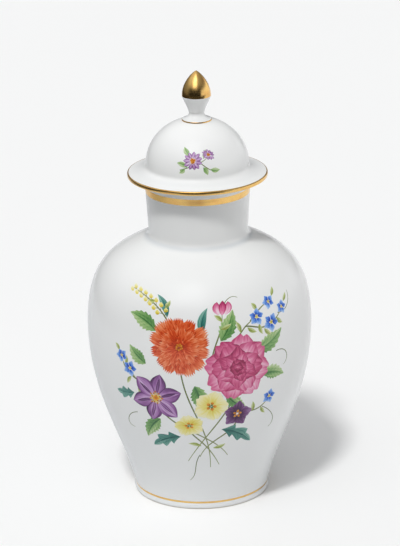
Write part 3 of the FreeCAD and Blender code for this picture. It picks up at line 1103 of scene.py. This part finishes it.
@dataclass
class Jar(Ware):
    """Jar: foot, belly, shoulder and neck under one glaze, with its gold."""

    body = "jar"

    contact_radius: float = 45.7
    roll_radius: float = 46.8
    roll_share: float = 0.2
    waist_radius: float = 46.1
    ring_width: float = 4.4
    ring_bevel: float = 0.8
    recess_depth: float = 4.6
    recess_rise: float = 1.2
    floor_thickness: float = 5.0
    floor_round: float = 10.2
    body_wall: float = 3.6
    shoulder_pitch: float = 22.5
    shoulder_cove: float = 6.0
    neck_foot_radius: float = 33.7
    neck_spread: float = 2.45
    rim_round: float = 1.2
    enamel_room: float = 0.13
    foot_rise_share: float = 0.252
    foot_lean_share: float = 0.175
    belly_lower_share: float = 0.432
    belly_upper_share: float = 0.611
    shoulder_flat_share: float = 0.709
    bare_below: float = 0.5

    def __post_init__(self) -> None:
        """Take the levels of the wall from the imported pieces."""
        self.waist_height = bottom("foot_gilding")
        self.belly_radius = reach("upper_body") - self.enamel_room
        self.belly_height = top("lower_body")
        self.neck_foot = at(self.neck_foot_radius, top("upper_body"))
        self.rim = at(self.neck_foot_radius + self.neck_spread, top("neck"))
        self.upward = (self.rim - self.neck_foot).normalized()

    def cove(self, inset: float) -> tuple[Vector, Vector, Vector]:
        """Work out the cove under the neck.

        Args:
            inset: How far inside the glaze the line lies.

        Returns:
            Its start, its corner and its end.
        """
        pitch = radians(self.shoulder_pitch)
        outward = at(cos(pitch), -sin(pitch))
        half = outward.angle(self.upward) / 2
        corner = self.neck_foot - (outward + self.upward).normalized() * (inset / sin(half))
        leg = (self.shoulder_cove + inset) / tan(half)
        return corner + outward * leg, corner, corner + self.upward * leg

    def wall(self, inset: float = 0.0) -> list[Vector]:
        """Draw the line of the wall from the waist to the lip.

        Args:
            inset: How far inside the glaze the line lies.

        Returns:
            Its points. The last is where the rim's rounding starts.
        """
        waist = at(self.waist_radius - inset, self.waist_height)
        belly = at(self.belly_radius - inset, self.belly_height)
        shoulder, corner, neck = self.cove(inset)
        climb = self.foot_rise_share * (belly.y - waist.y)
        run = self.shoulder_flat_share * (belly.x - shoulder.x)
        slope = tan(radians(self.shoulder_pitch))
        section = Section(waist).sweep(waist + at(self.foot_lean_share * climb, climb),
                                       belly - at(0, self.belly_lower_share * (belly.y - waist.y)), belly)
        section.sweep(belly + at(0, self.belly_upper_share * (shoulder.y - belly.y)),
                      shoulder + at(run, -run * slope), shoulder)
        return section.round(corner, neck).line(self.rim_corner(inset) - self.upward * self.rim_round).points

    def rim_corner(self, inset: float) -> Vector:
        """Return the corner that the wall and the flat of the rim would make."""
        neck = self.cove(inset)[2]
        return neck + self.upward * ((self.rim.y - neck.y) / self.upward.y)

    def section(self) -> list[Vector]:
        """Draw the whole jar's half section.

        Returns:
            Its points, from the middle of the underside to that of the floor.
        """
        ring = self.contact_radius - self.ring_width
        crown = at(0, self.recess_depth + self.recess_rise)
        handle = at(ring / 2, crown.y)
        section = Section(crown).sweep(handle, handle, at(ring, self.recess_depth))
        section.line(at(ring, self.ring_bevel), at(ring + self.ring_bevel, 0), at(self.contact_radius, 0))
        # A roll this wide touches the roll's radius at the middle of its height.
        bulge = self.roll_radius + (2 * self.roll_radius - self.contact_radius - self.waist_radius) / 6
        outer, inner = self.wall(), self.wall(self.body_wall)
        section.sweep(at(bulge, self.roll_share * self.waist_height),
                      at(bulge, (1 - self.roll_share) * self.waist_height), outer[0]).follow(outer[1:])
        lip, mouth, edge = self.rim_corner(0), self.rim_corner(self.body_wall), at(self.rim_round, 0)
        section.round(lip, lip - edge).line(mouth + edge).round(mouth, inner[-1])
        middle = at(0, crown.y + self.floor_thickness)
        side = clip(inner, lambda p: p.y - middle.y - self.floor_round)
        slant = (side[1] - side[0]).normalized()
        corner = side[0] - slant * (self.floor_round / slant.y)
        flat = corner - at((side[0] - corner).length, 0)
        return section.follow(side[-2::-1]).round(corner, flat).line(middle).points

    def build(self, gold: Material) -> list[Vector]:
        """Throw the jar and gild it.

        Args:
            gold: The finish of its line and its band.

        Returns:
            The line of its glaze, for the painter.
        """
        pools = (self.neck_foot.y, self.waist_height)
        glaze = PorcelainGlaze("jar_hard_paste_glaze", pools, self.bare_below).material()
        self.throw("jar_porcelain", self.section(), glaze, "glazed_porcelain",
                   "foot", "lower_body", "upper_body", "neck")
        for name, node in (("foot_line_gold", "foot_gilding"), ("neck_band_gold", "neck_gilding")):
            low, high = bottom(node), top(node)
            self.gild(name, node, gold, self.wall, lambda p: p.y - low, lambda p: high - p.y)
        return self.wall()


@dataclass
class Cover(Ware):
    """Cover: domed lid with its collar, and the bud-shaped knob on it."""

    body = "cover"

    seat_gap: float = 0.1
    brim_edge: float = 2.8
    brim_round: float = 0.8
    brim_slope: float = 8.0
    dome_radius: float = 35.05
    dome_spring: float = 8.8
    dome_rise: float = 31.64
    lid_wall: float = 3.0
    collar_wall: float = 3.0
    collar_taper: float = 1.5
    collar_depth: float = 12.0
    collar_tip_radius: float = 31.13
    edge_gilding_width: float = 0.9
    brim_flat_share: float = 0.50
    cove_share: float = 0.75
    quarter_share: float = 0.5523
    hollow_share: float = 0.50
    finial_foot_radius: float = 10.1
    finial_foot_edge: float = 0.9
    finial_foot_round: float = 0.4
    stem_radius: float = 5.0
    stem_height: float = 5.8
    bud_base_radius: float = 5.35
    bud_radius: float = 9.85
    bud_height: float = 17.0
    flare_drop_share: float = 0.60
    flare_reach_share: float = 0.50
    flare_lift_share: float = 0.12
    bud_lean_share: float = 0.20
    bud_lift_share: float = 0.40
    bud_swell_share: float = 0.15
    ogive_share: float = 0.59
    nose_share: float = 0.10
    spacing: float = 0.9
    brim_pool: float = 4.4
    finial_pool: float = 1.2
    bare_collar: float = 9.0

    def __post_init__(self) -> None:
        """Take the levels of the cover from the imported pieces."""
        self.brim_radius = reach("lid_edge_gilding")
        self.brim_seat = top("neck") + self.seat_gap
        self.dome_height = self.brim_seat + self.dome_spring
        self.crown_seat = bottom("finial")
        self.tip_height = top("finial_bud_gilding") - 2 * Film.proud

    def dome(self, section: Section, inset: float) -> list[Vector]:
        """Draw the dome from its widest to the axis.

        Args:
            section: The section to draw on, which stands at the widest.
            inset: How far inside the glaze the line lies.

        Returns:
            The section's points.
        """
        spring = at(self.dome_radius - inset, self.dome_height)
        crown = at(0, self.dome_height + self.dome_rise - inset)
        return section.sweep(spring + at(0, self.quarter_share * (crown.y - spring.y)),
                             crown + at(self.quarter_share * spring.x, 0), crown).points

    def shell(self, inset: float = 0.0) -> list[Vector]:
        """Draw the line from under the brim, round its edge, to the crown.

        Args:
            inset: How far inside the glaze the line lies.

        Returns:
            Its points.
        """
        edge = self.brim_round - inset
        slope = radians(self.brim_slope)
        low = at(self.brim_radius - self.brim_round, self.brim_seat + self.brim_round)
        high = at(low.x, self.brim_seat + self.brim_edge - self.brim_round)
        upper = high + at(sin(slope), cos(slope)) * edge
        outer, lower = high + at(edge, 0), low - at(0, edge)
        spring = at(self.dome_radius - inset, self.dome_height)
        run = self.brim_flat_share * (upper.x - spring.x)
        leave = upper + at(-run, run * tan(slope))
        section = Section(lower - at(self.brim_edge, 0), self.spacing).line(lower)
        section.round(lower + at(edge, 0), low + at(edge, 0)).line(outer)
        section.round(outer + at(0, edge * tan(pi / 4 - slope / 2)), upper)
        section.sweep(leave, spring - at(0, self.cove_share * (spring.y - leave.y)), spring)
        return self.dome(section, inset)

    def lid_section(self) -> list[Vector]:
        """Draw the lid's half section.

        Returns:
            Its points, from its hollow to its flat crown.
        """
        tip = self.brim_seat - self.collar_depth
        end = at(self.collar_wall / 2, 0)
        outside = at(self.collar_tip_radius, tip + end.x)
        inside = outside - at(self.collar_wall, 0)
        nose = at(outside.x - end.x, tip)
        mouth = at(inside.x, self.brim_seat)
        spring = at(self.dome_radius - self.lid_wall, self.dome_height)
        lift = at(0, self.hollow_share * self.dome_spring)
        vault = self.dome(Section(spring, self.spacing), self.lid_wall)
        section = Section(vault[-1], self.spacing).follow(vault[-2::-1])
        section.sweep(spring - lift, mouth + lift, mouth).line(inside)
        section.round(nose - end, nose).round(nose + end, outside)
        root = outside.x + self.collar_depth * tan(radians(self.collar_taper))
        section.line(at(root, self.brim_seat)).follow(clip(self.shell(), lambda p: self.crown_seat - p.y))
        return section.line(at(0, self.crown_seat)).points

    def knob(self, inset: float = 0.0) -> list[Vector]:
        """Draw the knob's line from the lid's crown to its tip.

        Args:
            inset: How far inside the surface the line lies.

        Returns:
            Its points.
        """
        foot = at(self.finial_foot_radius - inset, self.crown_seat)
        edge = foot + at(0, self.finial_foot_edge)
        stem = at(self.stem_radius - inset, self.crown_seat + self.stem_height)
        base = at(self.bud_base_radius - inset, stem.y)
        bulge = at(self.bud_radius - inset, self.crown_seat + self.bud_height)
        tip = at(0, self.tip_height - inset)
        swell = bulge - base
        span, drop = edge.x - stem.x, stem.y - edge.y
        flare = at(-self.flare_reach_share * span, self.flare_lift_share * drop)
        soft = self.finial_foot_round
        section = Section(foot, self.spacing).line(edge - at(0, soft))
        section.round(edge, edge + flare.normalized() * soft)
        section.sweep(edge + flare, stem - at(0, self.flare_drop_share * drop), stem).line(base)
        section.sweep(base + at(self.bud_lean_share * swell.x, self.bud_lift_share * swell.y),
                      bulge - at(0, self.bud_swell_share * swell.y), bulge)
        ogive = at(0, self.ogive_share * (tip.y - bulge.y))
        return section.sweep(bulge + ogive, tip + at(self.nose_share * bulge.x, 0), tip).points

    def build(self, gold: Material) -> list[Vector]:
        """Throw lid and knob and gild them.

        Args:
            gold: The finish of its gilded edges and of the bud.

        Returns:
            The line of its glaze, for the painter.
        """
        pools = (self.brim_seat + self.brim_pool, self.crown_seat + self.finial_pool)
        # Painted light: the lid is the same porcelain as the jar, but its white, drift and pooled tones are
        # made paler so that the higher lid reads brighter.
        glaze = PorcelainGlaze("lid_hard_paste_glaze", pools, self.brim_seat - self.bare_collar,
                               white="#F7F7F6", drift="#F4F5F3", pooled="#EDEEED").material()
        knob = [at(0, self.crown_seat)] + self.knob()
        self.throw("lid_porcelain", self.lid_section(), glaze, "glazed_porcelain", "lid")
        self.throw("finial_porcelain", knob, glaze, "glazed_porcelain", "finial")
        inner = self.brim_radius - self.edge_gilding_width
        ring_top, bud_foot = top("finial_ring_gilding"), bottom("finial_bud_gilding")
        for node, outline, measure in (
            ("lid_edge_gilding", self.shell, lambda p: p.x - inner),
            ("finial_ring_gilding", self.knob, lambda p: ring_top - p.y),
            ("finial_bud_gilding", self.knob, lambda p: p.y - bud_foot),
        ):
            self.gild(node.replace("gilding", "gold"), node, gold, outline, measure)
        return clip(self.shell(), lambda p: p.y - self.brim_seat - self.brim_edge)


@dataclass
class Spray:
    """Flower spray on the jar's front: a loose bunch with its stems crossed."""

    middle: float = 100.0
    flowers: tuple[Flower, ...] = (
        Flower("garden_rose", Kind.ROSE, 26, 14, turn=10, lift=0.055),
        Flower("marigold", Kind.MARIGOLD, -14, 30, lift=0.055),
        Flower("clematis", Kind.CLEMATIS, -31, -9, turn=14, lift=0.055),
        Flower("primrose_front", Kind.PRIMROSE, 7, -14, turn=20, lift=0.065),
        Flower("primrose_low", Kind.PRIMROSE, -8, -30, turn=-14, squeeze=0.82, scale=0.92, lift=0.06),
        Flower("viola", Kind.VIOLA, 25, -22, turn=6, lift=0.055),
        Flower("starlet_a", Kind.STARLET, 40, 47, turn=8),
        Flower("starlet_b", Kind.STARLET, 52, 41, turn=30, scale=1.1),
        Flower("starlet_c", Kind.STARLET, 50, 55, turn=50, scale=0.85),
        Flower("starlet_d", Kind.STARLET, -51, 10, turn=20),
        Flower("starlet_e", Kind.STARLET, -58, 18, turn=44, scale=0.85),
        Flower("starlet_f", Kind.STARLET, 50, -13, turn=12, scale=0.95),
        Flower("starlet_g", Kind.STARLET, 62, 49, turn=16, scale=0.8),
    )
    twig: tuple[Point, ...] = ((-18, 38), (-22, 54), (-34, 62), (-47, 66))
    stem_width: float = 0.5
    stem_lift: float = 0.02
    tendril_width: float = 0.28
    tendril_load: float = 0.3
    leaf_lift: float = 0.035
    sprig_width: float = 1.5
    sprig_bend: float = 0.1
    sprig_lift: float = 0.04
    bud_lift: float = 0.045
    heads: int = 14
    first_head: float = 0.30
    head_length: float = 2.8
    head_width: float = 1.45
    head_drop: float = 1.3
    head_loads: Point = (0.1, 0.04)
    stalk_lengths: Point = (1.15, 0.7)
    stalk: float = 3.2
    stalk_width: float = 0.22
    stalk_lean: float = 0.9

    # The stems gather low down and part again below.
    stems = (
        twig,
        ((26, 6), (24, -18), (6, -30), (-9, -62)),
        ((-14, 20), (-12, -16), (7, -28), (6, -68)),
        ((-30, -14), (-20, -34), (8, -36), (18, -58)),
        ((25, -26), (22, -40), (5, -40), (-1, -58)),
        ((-8, -34), (-4, -42), (4, -44), (12, -66)),
        ((22, 26), (26, 38), (32, 44), (40, 47)),
        ((31, 42), (38, 42), (46, 36), (52, 41)),
        ((35, 45), (40, 50), (44, 54), (50, 55)),
        ((44, 39), (52, 40), (58, 42), (62, 49)),
        ((-38, 0), (-44, 0), (-48, 4), (-51, 10)),
        ((-46, 3), (-52, 6), (-57, 10), (-58, 18)),
        ((26, -18), (34, -24), (44, -22), (50, -13)),
        ((8, 22), (10, 34), (16, 40), (15, 53)),
    )
    # Thin curled lines end the spray.
    tendrils = (
        ((58, 46), (68, 44), (72, 52), (69, 58)),
        ((56, 20), (66, 22), (70, 12), (63, 8)),
        ((-46, -24), (-56, -26), (-58, -38), (-49, -38)),
        ((16, 52), (14, 58), (20, 66), (26, 62)),
        ((44, -20), (54, -26), (58, -36), (50, -40)),
        ((-1, -56), (-6, -66), (-2, -74), (-8, -80)),
    )
    # Serrated leaves back the large flowers. A row is what blade takes.
    leaves = (
        (40, 24, 62, 24, 5.6, Cut.LEAF, 0.10, 0.45),
        (44, 6, 104, 20, 5.0, Cut.LEAF, -0.12, 0.55, 1),
        (14, 34, 22, 22, 5.4, Cut.LEAF, 0.08, 0.5),
        (-30, 40, -64, 22, 5.4, Cut.LEAF, 0.10, 0.5),
        (-4, 2, 170, 20, 5.2, Cut.LEAF, -0.10, 0.35, 1),
        (-38, 16, -48, 17, 4.6, Cut.LEAF, -0.10, 0.5, 2),
        (-28, -26, -150, 20, 5.2, Cut.LEAF, 0.12, 0.4),
        (18, -6, 130, 18, 4.6, Cut.LEAF, 0.10, 0.4, 2),
    )
    # The blue-green ones are lobed and turn the other way.
    cool_leaves = (
        (-14, -40, -118, 22, 4.4, Cut.LOBED, 0.12, 0.35),
        (14, -34, 124, 25, 4.6, Cut.LOBED, -0.14, 0.35),
        (-48, -8, -96, 16, 3.6, Cut.LOBED, -0.10, 0.45),
        (2, 38, 10, 19, 3.0, Cut.LANCE, -0.16, 0.4),
        (-22, 50, -24, 16, 2.8, Cut.LANCE, 0.14, 0.4, 1),
    )
    # Small pale leaves beside the little flowers: seat, heading and length.
    sprigs = (
        (28, 38, -24, 9), (33, 41, 120, 8), (42, 42, 160, 8), (40, 51, -36, 7), (46, 38, 130, 8),
        (57, 43, 130, 7), (64, 52, 30, 6), (53, 58, 10, 6), (-42, 0, -170, 8), (-50, 4, -150, 7),
        (-55, 12, 10, 7), (-60, 21, -40, 6), (36, -22, 4, 8), (43, -20, 150, 7), (8, -50, 70, 9),
        (0, -48, -76, 9), (15, 47, -50, 7), (14, 42, 66, 8), (-24, 56, 40, 7), (-30, 60, -110, 7),
    )
    # A closed rosebud stands on its own stem.
    bud = (
        (13.2, 52, -10, 8.5, 2.8, Cut.POINTED, -0.16, 0.45),
        (17.0, 52, 14, 8.5, 2.8, Cut.POINTED, 0.16, 0.55, 1),
        (15.1, 51.5, 2, 9.5, 2.6, Cut.POINTED, 0.02, 0.15, 2),
    )

    def stalks(self) -> list[tuple[Vector, Vector]]:
        """Set short stalks along the twig, left and right, shorter to its tip.

        Returns:
            Where each stalk starts and ends.
        """
        twig, pairs = Stroke(self.twig, self.stem_width, Cut.LINE), []
        for k in range(self.heads):
            share = self.first_head + (1 - self.first_head) * k / (self.heads - 1)
            spot, ahead = twig.place(share)
            length = self.stalk * (self.stalk_lengths[0] - self.stalk_lengths[1] * share)
            pairs.append((spot, spot + (right_of(ahead) * (-1) ** k + ahead * self.stalk_lean) * length))
        return pairs

    def paint(self, painter: Painter) -> None:
        """Paint the spray from its lowest layer to its highest.

        Args:
            painter: Who lays it on the jar.
        """
        pairs, (load, paler) = self.stalks(), self.head_loads
        stalks = [[tuple(foot.lerp(head, t)) for t in (0, 1 / 3, 2 / 3, 1)] for foot, head in pairs]
        for name, tint, lift, strokes in (
            ("stems", Tint.STEM, self.stem_lift, [
                Stroke(spine, width, Cut.LINE, layer=k % 3)
                for spines, width in ((self.stems, self.stem_width), (stalks, self.stalk_width))
                for k, spine in enumerate(spines)]),
            ("tendrils", Tint.STEM, self.stem_lift, [
                Stroke(spine, self.tendril_width, Cut.LINE, self.tendril_load) for spine in self.tendrils]),
            ("leaves", Tint.GREEN, self.leaf_lift, [blade(*leaf) for leaf in self.leaves]),
            ("cool_leaves", Tint.TEAL, self.leaf_lift, [blade(*leaf) for leaf in self.cool_leaves]),
            ("sprigs", Tint.MOSS, self.sprig_lift, [
                blade(*spot, self.sprig_width, Cut.LANCE, self.sprig_bend, layer=k % 3)
                for k, spot in enumerate(self.sprigs)]),
            ("catkins", Tint.YELLOW, self.sprig_lift, [
                blade(head.x, head.y - self.head_drop, 0, self.head_length, self.head_width, Cut.DOT,
                      load=load + paler * k, layer=k % 3) for k, (_, head) in enumerate(pairs)]),
            ("bud", Tint.ROSE, self.bud_lift, [blade(*petal) for petal in self.bud]),
        ):
            painter.draw("spray_" + name, strokes, tint, lift)
        for flower in self.flowers:
            painter.flower(flower)


@dataclass
class Posy:
    """Small posy on the front of the dome."""

    middle: float = 246.0
    stem_width: float = 0.3
    stem_lift: float = 0.02
    leaf_lift: float = 0.04
    flowers: tuple[Flower, ...] = (
        Flower("posy_daisy", Kind.DAISY, -3, 0.5, turn=6, lift=0.06),
        Flower("posy_daisy_small", Kind.DAISY, 7.5, 4.5, turn=30, squeeze=0.75, scale=0.72, lift=0.05),
    )

    stems = (((-12, -6), (-6, -4), (4, -1), (7, 3)), ((2, -1), (6, -4), (8, -6), (12, -7)))
    leaves = (
        (-7, -4, -70, 7.5, 1.9, Cut.LANCE, 0.12, 0.76),
        (-5, 4, -30, 7, 2.0, Cut.LANCE, -0.12, 0.7, 1),
        (9, -5.5, 96, 6.5, 1.8, Cut.LANCE, 0.1, 0.76),
        (4, -4, 150, 6, 1.7, Cut.LANCE, -0.1, 0.66, 1),
        (-8.5, -5, -128, 5, 1.5, Cut.LANCE, -0.1, 0.8),
        (4, 2, 12, 6.5, 1.6, Cut.LANCE, 0.1, 0.8),
    )

    def paint(self, painter: Painter) -> None:
        """Paint the posy.

        Args:
            painter: Who lays it on the cover.
        """
        stems = [Stroke(spine, self.stem_width, Cut.LINE, layer=k) for k, spine in enumerate(self.stems)]
        painter.draw("posy_stems", stems, Tint.STEM, self.stem_lift)
        painter.draw("posy_leaves", [blade(*leaf) for leaf in self.leaves], Tint.GREEN, self.leaf_lift)
        for flower in self.flowers:
            painter.flower(flower)


@dataclass
class Studio:
    """Plain photographer's table: floor, soft daylight and the camera.

    A pair of directions is where a patch of the sky starts and is full.
    """

    camera_distance: float = 2234.0
    camera_elevation: float = 19.17
    camera_roll: float = -0.815
    camera_sees: float = 100.0
    target_height: float = 156.0
    focal_pixels: float = 3258.0
    frame_pixels: float = 546.0
    shift_pixels: float = 1.09
    sensor: float = 36.0
    floor_radius: float = 4500.0
    floor_sides: int = 96
    floor_colour: str = "#F7F7F6"
    paper_roughness: float = 0.9
    paper_specular: float = 0.1
    table_colour: str = "#E0E2E4"
    # Painted light and shade in what the paper throws back: paler near the card, dark where the unlit room
    # begins.
    card_light_colour: str = "#F6F6F6"
    room_shade_colour: str = "#33302C"
    table_reach: float = 480.0
    table_edge: float = 220.0
    sky_colour: str = "#FBFCFE"
    backdrop: float = 0.95
    sky_low: float = 0.16
    sky_high: float = 0.60
    right: Point = (0.0, 0.8)
    right_shade: float = 0.34
    front: Point = (-0.1, -0.7)
    front_climb: Point = (0.25, 0.75)
    front_shade: float = 0.88
    card: Point = (0.50, 0.74)
    card_strength: float = 0.95
    card_top: float = 28.0
    card_fade: float = 0.30
    window: Point = (-0.1, -0.6)
    window_climb: Point = (0.3, 0.6)
    window_strength: float = 0.32
    key_strength: float = 1.60
    key_elevation: float = 57.0
    key_azimuth: float = -19.5
    key_angle: float = 8.0
    glow_strength: float = 0.85
    glow_core: float = 6.0
    glow_reach: float = 32.0
    box_strength: float = 1.1
    box_azimuth: float = -13.0
    box_half_width: float = 22.0
    box_side_fade: float = 4.0
    box_low: float = 20.0
    box_low_fade: float = 22.0
    box_high: float = 77.0
    box_high_fade: Point = (0.04, 0.02)

    def camera(self) -> None:
        """Place the camera where the photograph was taken from."""
        pitch, roll = radians(self.camera_elevation), radians(self.camera_roll)
        ahead = Vector((0, cos(pitch), -sin(pitch)))
        level, over = Vector((1, 0, 0)), Vector((0, sin(pitch), cos(pitch)))
        right = level * cos(roll) + over * sin(roll)
        up = over * cos(roll) - level * sin(roll)
        data = bpy.data.cameras.new("photographer")
        data.sensor_width = self.sensor
        data.lens = self.focal_pixels * self.sensor / self.frame_pixels
        data.shift_x = self.shift_pixels / self.frame_pixels
        data.clip_end = self.camera_sees
        target = Vector((0, 0, self.target_height * MM))
        place = Matrix.Translation(target - ahead * self.camera_distance * MM)
        camera = stand("photographer", data)
        camera.matrix_world = place @ Matrix((right, up, -ahead)).transposed().to_4x4()
        bpy.context.scene.camera = camera

    def floor(self) -> None:
        """Lay the pale matt paper that the vase stands on."""
        radius, sides = self.floor_radius * MM, range(self.floor_sides)
        rim = [(cos(TURN * k / len(sides)) * radius, sin(TURN * k / len(sides)) * radius, 0) for k in sides]
        mesh = bpy.data.meshes.new("paper_floor")
        mesh.from_pydata(rim, [], [tuple(sides)])
        mesh.materials.append(self.paper())
        stand("paper_floor", mesh)

    def paper(self) -> Material:
        """Dye the matt paper, which throws less light back than the eye sees.

        Some way in front and to the left, where a real sweep would end in the unlit room, the paper is
        painted dark, a painted shade that burnished gold shows; towards the white card on the right it is
        painted paler, a painted light.

        Returns:
            The paper as a material.
        """
        made, shader, put = new_finish("matt_paper")
        x, y = put(SPLIT_XYZ, put("ShaderNodeTexCoord").outputs["Object"]).outputs[:2]
        least = put(MATH, x, y, operation="MINIMUM")
        far = put(RANGE, least, -self.table_reach * MM, -(self.table_reach + self.table_edge) * MM)
        near_card = put(RANGE, x, 0.0, self.table_edge * MM)
        colour: Any = linear(self.table_colour)
        # Painted light near the card on the right and painted shade where the unlit room begins; the eye sees
        # only the plain floor colour.
        for share, over in ((near_card, self.card_light_colour), (far, self.room_shade_colour),
                            (put("ShaderNodeLightPath").outputs["Is Camera Ray"], self.floor_colour)):
            colour = put(MIX, share, colour, linear(over), data_type="RGBA")
        feed(shader, Base_Color=colour, Roughness=self.paper_roughness,
             Specular_IOR_Level=self.paper_specular)
        return made

    def sky(self) -> None:
        """Hang the tent: bright above and left, a white card right, dark in front.

        Mirrors also see the tall soft box that the key shines through, and
        the eye sees a plain pale backdrop.
        """
        world = bpy.context.scene.world = bpy.data.worlds.new("tent")
        world.use_nodes = True
        put = partial(add, world.node_tree)

        def combine(operation: str, *values: Any) -> Any:
            """Return all values multiplied or added up, two by two."""
            return reduce(lambda a, b: put(MATH, a, b, operation=operation), values)

        def patch(*edges: tuple[Any, ...]) -> Any:
            """Return a patch of the sky, which has a soft edge for each range."""
            ramps = (put(RANGE, *edge, interpolation_type="SMOOTHSTEP") for edge in edges)
            return combine("MULTIPLY", *ramps)

        place = put("ShaderNodeTexCoord").outputs["Generated"]
        x, y, z = put(SPLIT_XYZ, place).outputs[:3]
        rays = put("ShaderNodeLightPath").outputs
        shade = patch((y, *self.front, 0.0, self.front_shade), (z, *self.front_climb, 1.0, 0.0))
        tent = combine("MULTIPLY", put(RANGE, z, 0.0, 1.0, self.sky_low, self.sky_high),
                       put(MATH, 1.0, shade, operation="SUBTRACT"),
                       patch((x, *self.right, 1.0, 1.0 - self.right_shade)))
        facing = put("ShaderNodeVectorMath", place, self.towards_key(), operation="DOT_PRODUCT")
        halo = (cos(radians(angle)) for angle in (self.glow_reach, self.glow_core))
        glow = patch((facing, *halo, 0.0, self.glow_strength))
        rise = sin(radians(self.card_top))
        card = patch((x, *self.card, 0.0, self.card_strength), (z, rise - self.card_fade, rise, 1.0, 0.0))
        window = patch((x, *self.window, 0.0, self.window_strength), (z, *self.window_climb, 0.0, 1.0))
        bearing = put(MATH, x, put(MATH, y, -1.0, operation="MULTIPLY"), operation="ARCTAN2")
        aside = put(MATH, bearing, radians(self.box_azimuth), operation="SUBTRACT")
        aside = put(MATH, aside, operation="ABSOLUTE")
        sides = (radians(self.box_half_width + fade) for fade in (-self.box_side_fade, self.box_side_fade))
        foot = (sin(radians(self.box_low + fade)) for fade in (0.0, self.box_low_fade))
        head = sin(radians(self.box_high))
        box = patch((aside, *sides, self.box_strength, 0.0), (z, *foot, 0.0, 1.0),
                    (z, head - self.box_high_fade[0], head + self.box_high_fade[1], 1.0, 0.0))
        level = combine("ADD", tent, glow, card, window, combine("MULTIPLY", box, rays["Is Glossy Ray"]))
        level = put(MIX, rays["Is Camera Ray"], level, self.backdrop, data_type="FLOAT")
        feed(world.node_tree.nodes["Background"], Color=linear(self.sky_colour), Strength=level)

    def key(self) -> None:
        """Set the large soft key light to the front left."""
        data = bpy.data.lights.new("key", "SUN")
        data.energy = self.key_strength
        data.angle = radians(self.key_angle)
        light = stand("key", data)
        light.visible_glossy = False
        light.rotation_euler = self.towards_key().to_track_quat("Z", "Y").to_euler()

    def towards_key(self) -> Vector:
        """Return the direction from the table to the key light."""
        climb, side = radians(self.key_elevation), radians(self.key_azimuth)
        return Vector((sin(side) * cos(climb), -cos(side) * cos(climb), sin(climb)))

    def build(self) -> None:
        """Set up the studio."""
        for step in (self.camera, self.floor, self.sky, self.key):
            step()
        bpy.context.scene.view_settings.view_transform = "Standard"


def main() -> None:
    """Build the covered vase and the studio round it."""
    logging.basicConfig(level=logging.INFO, format="%(message)s")
    wheel, brushwork, wash = Wheel(), Brushwork(), BrushWash()
    gold = Gilding("burnished_gold").material()
    palette = {tint: tint.value.material(wash) for tint in Tint}
    wares = [Jar(wheel), Cover(wheel)]
    lines = [ware.build(gold) for ware in wares]
    for ware, line, painting in zip(wares, lines, (Spray(), Posy())):
        painter = Painter(brushwork, palette, line, painting.middle, ware.body)
        painting.paint(painter)
        painter.put_away()
    Studio().build()


if __name__ == "__main__":
    main()
